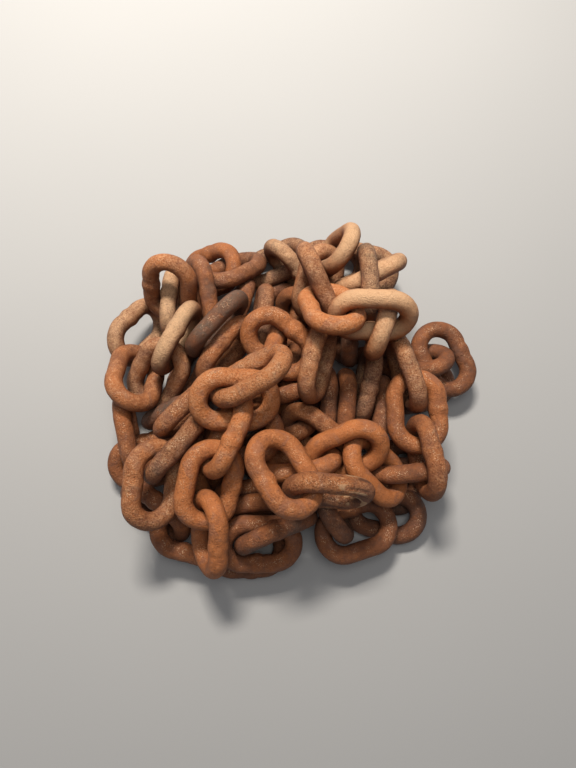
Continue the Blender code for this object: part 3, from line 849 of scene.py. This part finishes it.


# Colours of the iron, and of its painted shade and glints
ORANGE_RUST = (0.580, 0.185, 0.048)
BROWN_RUST = (0.250, 0.086, 0.033)
ROSE_BROWN = (0.330, 0.135, 0.075)
# The dark colour next is the dark rust of pits and grooves, and also the colour of the painted shade
DARK_RUST_AND_SHADE = (0.055, 0.020, 0.011)
GREY_SCALE = (0.135, 0.084, 0.056)
PALE_DUST_AND_SUNLIGHT = (0.800, 0.500, 0.275)
# The bright colour next is of pale specks and of painted glints
BRIGHT_FLECK_AND_GLINT = (0.900, 0.590, 0.360)
# Patches of the rust, in cells per metre
BROAD_PATCHES = 60.0
WORN_PATCHES = 95.0
FLECK_CLUSTERS = 120.0
MOTTLING = 230.0
RUST_GRAIN = 850.0
FLECKS = 1300.0
# How much painted shade darkens the foot of the heap, and the height at which it ends
FOOT_SHADE_SHARE = 0.55
FOOT_SHADE_HEIGHT = 80.0
# How much painted shade shows on the wires' steep sides and where links bear, and how much dark rust in
# the flaky end's grooves
SIDE_SHADE_SHARE = 0.45
BEARING_SHADE_SHARE = 0.8
GROOVE_SHARE = 0.6
# How much of the rose-brown, the dust with its painted sunlight, and the flecks with their painted glints
# shows at most
ROSE_SHARE = 0.5
DUST_AND_SUNLIGHT_SHARE = 0.85
RIDGE_DUST_SHARE = 0.6
FLECK_AND_GLINT_SHARE = 0.8
# How far the broad patches and the mottling carry a link's colour from its own
BROAD_SWING = 1.3
MOTTLE_SWING = 0.9
# Roughness of the rust, what its grain adds and what bare scale takes away
RUST_DULLNESS = 0.48
GRAIN_DULLNESS = 0.35
BARE_GLOSS = 0.15
RUST_SHINE = 0.50
# Height of the bumps that the rust's grain and its mottling make, metres
GRAIN_RELIEF = 0.0013
MOTTLE_RELIEF = 0.0005


def rust_patches(f, mottle):
    """Brown and orange rust in broad patches, rose-brown where worn, bare grey scale where brown.

    Gives the colour and how bare the scale is.
    """
    broad = f.noise(BROAD_PATCHES, 2.0, 0.5)
    share = f.math("ADD", f.value("orange"), f.scaled(f.math("SUBTRACT", broad, 0.5), BROAD_SWING))
    share = f.math("ADD", share, f.scaled(f.math("SUBTRACT", mottle, 0.5), MOTTLE_SWING))
    colour = f.blend(f.between(share, 0.0, 1.0), BROWN_RUST, ORANGE_RUST)
    worn = f.between(f.noise(WORN_PATCHES, 2.0, 0.55, 0.8), 0.50, 0.66)
    colour = f.blend(f.scaled(worn, ROSE_SHARE), colour, ROSE_BROWN)
    patchy = f.math("ADD", 0.5, f.scaled(f.between(mottle, 0.40, 0.58), 0.5))
    bare = f.scaled(f.between(share, 0.25, -0.15), patchy)
    return f.blend(bare, colour, GREY_SCALE), bare


def darkened_and_shaded(f, colour, grain):
    """Dark rust in pits; painted shade on steep sides, where links bear and towards the foot of the heap.
    """
    pits = f.between(f.math("ADD", grain, f.scaled(f.value("flaked"), -0.03)), 0.46, 0.30)
    pitted = f.math("SUBTRACT", 0.55, f.scaled(f.value("dusty"), 0.35))
    pitted = f.scaled(f.value("rough"), pitted)
    colour = f.blend(f.scaled(pits, pitted), colour, DARK_RUST_AND_SHADE)
    # Painted shade: the steep sides of the wires are darker, as where light from above falls off
    steep = f.between(f.value("upward"), 0.80, -0.30)
    colour = f.blend(f.scaled(steep, SIDE_SHADE_SHARE), colour, DARK_RUST_AND_SHADE)
    # Painted shade where links bear on each other, darkest at a touch
    bearing_shade = f.between(f.value("close"), 0.10, 1.0)
    colour = f.blend(f.scaled(bearing_shade, BEARING_SHADE_SHARE), colour, DARK_RUST_AND_SHADE)
    # Painted shade: darker towards the foot of the heap
    return f.blend(f.scaled(f.value("foot_shade"), FOOT_SHADE_SHARE), colour, DARK_RUST_AND_SHADE)


def dusted(f, colour, mottle, grain):
    """Pale dust on faces that look up, the more the dustier the link is; on the links at the back right,
    whose dust is set high, it also paints sunlight.
    """
    settled = f.math("ADD", f.scaled(mottle, 0.5), f.scaled(grain, 0.9))
    settled = f.math("ADD", settled, f.scaled(f.value("dusty"), 0.70))
    # Dust on the upward faces, which on the high-dust links at the back right is painted sunlight
    dust = f.scaled(f.between(settled, 0.85, 1.50), f.between(f.value("upward"), 0.0, 1.0))
    return f.blend(f.scaled(dust, DUST_AND_SUNLIGHT_SHARE), colour, PALE_DUST_AND_SUNLIGHT)


def ridged(f, colour):
    """The flaky end: dark rust in its grooves and pale dust on its ridges."""
    ridge = f.value("ridged")
    colour = f.blend(f.scaled(f.between(ridge, -0.10, -0.45), GROOVE_SHARE), colour, DARK_RUST_AND_SHADE)
    return f.blend(f.scaled(f.between(ridge, 0.20, 0.45), RIDGE_DUST_SHARE), colour, PALE_DUST_AND_SUNLIGHT)


def flecked_and_glinted(f, colour):
    """Fine bright flecks in clusters, mostly along the tops of the wires and on rough links: pale specks
    of the rust, and painted glints along the tops.
    """
    upward = f.value("upward")
    speck = f.noise(FLECKS, 2.0, 0.6)
    cluster = f.noise(FLECK_CLUSTERS, 2.0, 0.6)
    fleck_and_glint = f.scaled(f.between(speck, 0.55, 0.64), f.between(upward, 0.55, 1.0))
    fleck_and_glint = f.scaled(fleck_and_glint, f.between(cluster, 0.44, 0.62))
    # Painted glints: the flecks are strongest along the very tops of the wires
    fleck_and_glint = f.scaled(fleck_and_glint, f.math("ADD", 0.5, f.between(upward, 0.82, 1.0)))
    fleck_and_glint = f.scaled(fleck_and_glint, f.math("ADD", f.scaled(f.value("rough"), 0.40), 0.20))
    return f.blend(f.scaled(fleck_and_glint, FLECK_AND_GLINT_SHARE), colour, BRIGHT_FLECK_AND_GLINT)


def rusty_iron():
    """Dry, dusty rust over dark scale, dull, with painted shade and glints, and the bumps of its grain and
    its mottling.
    """
    f = Finish("rusty_iron")
    mottle = f.noise(MOTTLING, 3.0, 0.6)
    grain = f.noise(RUST_GRAIN, 3.0, 0.7)

    colour, bare = rust_patches(f, mottle)
    colour = darkened_and_shaded(f, colour, grain)
    colour = dusted(f, colour, mottle, grain)
    colour = ridged(f, colour)
    colour = flecked_and_glinted(f, colour)
    f.join(colour, f.shader.inputs["Base Color"])

    dull = f.math("ADD", RUST_DULLNESS, f.scaled(grain, GRAIN_DULLNESS))
    dull = f.math("SUBTRACT", dull, f.scaled(bare, BARE_GLOSS))
    f.join(dull, f.shader.inputs["Roughness"])
    f.shader.inputs["Metallic"].default_value = 0.0
    f.shader.inputs["Specular IOR Level"].default_value = RUST_SHINE

    fine = f.relief(f.scaled(grain, f.value("rough")), GRAIN_RELIEF)
    coarse = f.relief(mottle, MOTTLE_RELIEF, fine)
    f.join(coarse, f.shader.inputs["Normal"])
    return f.material


# Colours of the floor
FLOOR_DARKER = (0.43, 0.427, 0.420)
FLOOR_PALER = (0.46, 0.457, 0.450)
FLOOR_PATCHES = 3.0
FLOOR_DULLNESS = 0.9


def pale_floor():
    """Plain pale floor, dull, with the faintest mottling."""
    f = Finish("pale_floor")
    tone = f.noise(FLOOR_PATCHES, 2.0, 0.5)
    f.join(f.blend(tone, FLOOR_DARKER, FLOOR_PALER), f.shader.inputs["Base Color"])
    f.shader.inputs["Roughness"].default_value = FLOOR_DULLNESS
    return f.material


def place_links():
    """Pose of every link in the part's own millimetres, by the part's own seating."""
    names = [row[0] for row in LINKS]
    index = {name: i for i, name in enumerate(names)}
    poses = [link_pose(row[1], row[2], row[3]) for row in LINKS]
    centres = np.array([p[0] for p in poses])
    matrices = np.array([p[1] for p in poses])
    joined = [(index[a], index[b]) for pairs in LOWER_RUNS.values() for a, b in pairs]
    lower = {name for pairs in LOWER_RUNS.values() for pair in pairs for name in pair}
    ease = np.array([1.0 if name in lower else UPPER_EASE_SHARE for name in names])
    centres, matrices = seat_links(centres, matrices, joined, ease)
    centres = np.round(centres, 3)
    matrices = squared(np.round(matrices, 6))
    apart = []
    for i, name in enumerate(names):
        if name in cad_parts:
            low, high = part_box(name)
            apart.append((np.array(low) + np.array(high)) / 2 / MM - centres[i])
    shift = np.median(apart, axis=0)
    print("links off the frame by", np.abs(np.array(apart) - shift).max().round(3), "mm at most")
    return names, centres + shift, matrices, shift


def facing_up(world):
    """How far each point's surface faces up, -1 to 1: the height part of the grid's unit normal."""
    grid = world.reshape(ALONG_STEPS, ROUND_STEPS, 3)
    along = np.roll(grid, -1, 0) - np.roll(grid, 1, 0)
    around = np.roll(grid, -1, 1) - np.roll(grid, 1, 1)
    way = np.cross(along, around)
    return (way[..., 2] / np.linalg.norm(way, axis=2)).ravel()


def dress_link(i, name, centre, matrix, lines):
    """Surface of one link in its place, and the numbers that its finish reads at each point.

    Where a weld or a bump would reach below the floor, it is flattened on it.
    """
    orange, dusty, rough = FINISHES_AND_PAINTED_LIGHT[name]
    local, scale, ridges = worn_link(FIRST_SEED + SEED_STEP * i, rough, name == FLAKY_LINK)
    world = local @ matrix.T + centre
    world[:, 2] = np.maximum(world[:, 2], 0.0)
    values = {
        "orange": np.full(len(world), orange),
        "dusty": np.full(len(world), dusty),
        "rough": np.full(len(world), rough),
        "flaked": scale,
        "ridged": ridges,
        # Nearness of the other links, for the painted shade between links
        "close": closeness(world, i, lines),
        "upward": facing_up(world),
        # Painted shade: 1 at the floor, 0 from the height where it ends
        "foot_shade": np.clip(1 - world[:, 2] / FOOT_SHADE_HEIGHT, 0, 1),
    }
    return world, values


def dress_links(names, centres, matrices, material):
    """One piece for each single link and one for each lower run."""
    lines = np.matmul(centreline(NEIGHBOUR_STEPS), matrices.transpose(0, 2, 1)) + centres[:, None]
    faces = ring_faces()
    run_of = {name: run for run, pairs in LOWER_RUNS.items() for pair in pairs for name in pair}
    members = {}
    for i, name in enumerate(names):
        members.setdefault(run_of.get(name, name), []).append(i)
    for node, indexes in members.items():
        links = [dress_link(i, names[i], centres[i], matrices[i], lines) for i in indexes]
        points = np.concatenate([world for world, values in links])
        corners = np.concatenate([faces + k * ALONG_STEPS * ROUND_STEPS for k in range(len(links))])
        numbers = {
            label: np.concatenate([values[label] for world, values in links])
            for label in links[0][1]
        }
        piece = add_piece("rusty_" + node, points * MM, corners, numbers, material)
        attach(piece, "root")
        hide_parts(node)


# Camera: degrees below the horizontal, and lens and sensor width in millimetres
CAMERA_PITCH = 72.0
CAMERA_LENS = 27.05
SENSOR = 36.0
NEAREST_SEEN = 0.01

# Floor and light, metres and watts
FLOOR_HALF = 3.0
FLOOR_STEPS = 8
SKY_COLOUR = (0.86, 0.90, 1.0, 1.0)
SKY_STRENGTH = 0.15
LIGHT_TARGET = (0.0, 0.0, 0.04)
# Soft lights: name, place, size, power and colour
SOFT_LIGHTS = (
    ("key", (-0.14, 0.60, 1.15), 0.34, 33.0, (1.0, 0.94, 0.86)),
    ("top", (0.05, -0.10, 1.10), 0.5, 2.5, (1.0, 0.98, 0.95)),
)


def add_camera(shift):
    """The photograph's steep view down on the heap, from the sight point."""
    data = bpy.data.cameras.new("camera")
    data.lens = CAMERA_LENS
    data.sensor_width = SENSOR
    data.clip_start = NEAREST_SEEN
    camera = bpy.data.objects.new("camera", data)
    camera.location = tuple((np.array(SIGHT_POINT) * READING_UNIT + shift) * MM)
    camera.rotation_euler = (math.radians(90 - CAMERA_PITCH), 0.0, 0.0)
    bpy.context.scene.collection.objects.link(camera)
    bpy.context.scene.camera = camera


def add_soft_light(name, place, size, power, colour):
    """A square soft light that faces the middle of the heap."""
    data = bpy.data.lights.new(name, "AREA")
    data.shape = "SQUARE"
    data.size = size
    data.energy = power
    data.color = colour
    light = bpy.data.objects.new(name, data)
    way = np.array(LIGHT_TARGET) - np.array(place)
    way = way / np.linalg.norm(way)
    light.location = place
    light.rotation_euler = (math.acos(-way[2]), 0.0, math.atan2(way[0], -way[1]))
    bpy.context.scene.collection.objects.link(light)


def add_stage():
    """Floor, sky and soft lights."""
    edge = np.linspace(-FLOOR_HALF, FLOOR_HALF, FLOOR_STEPS + 1)
    x, y = np.meshgrid(edge, edge, indexing="ij")
    points = np.stack([x.ravel(), y.ravel(), 0 * x.ravel()], 1)
    i, j = np.meshgrid(np.arange(FLOOR_STEPS), np.arange(FLOOR_STEPS), indexing="ij")
    row = FLOOR_STEPS + 1
    start = (i * row + j).ravel()
    faces = np.stack([start, start + row, start + row + 1, start + 1], 1)
    floor = add_piece("floor", points, faces, {}, pale_floor())
    world = bpy.data.worlds.new("soft_sky")
    world.use_nodes = True
    world.node_tree.nodes["Background"].inputs["Color"].default_value = SKY_COLOUR
    world.node_tree.nodes["Background"].inputs["Strength"].default_value = SKY_STRENGTH
    bpy.context.scene.world = world
    for name, place, size, power, colour in SOFT_LIGHTS:
        add_soft_light(name, place, size, power, colour)
    bpy.context.scene.view_settings.view_transform = "Standard"


names, centres, matrices, shift = place_links()
add_camera(shift)
add_stage()
dress_links(names, centres, matrices, rusty_iron())
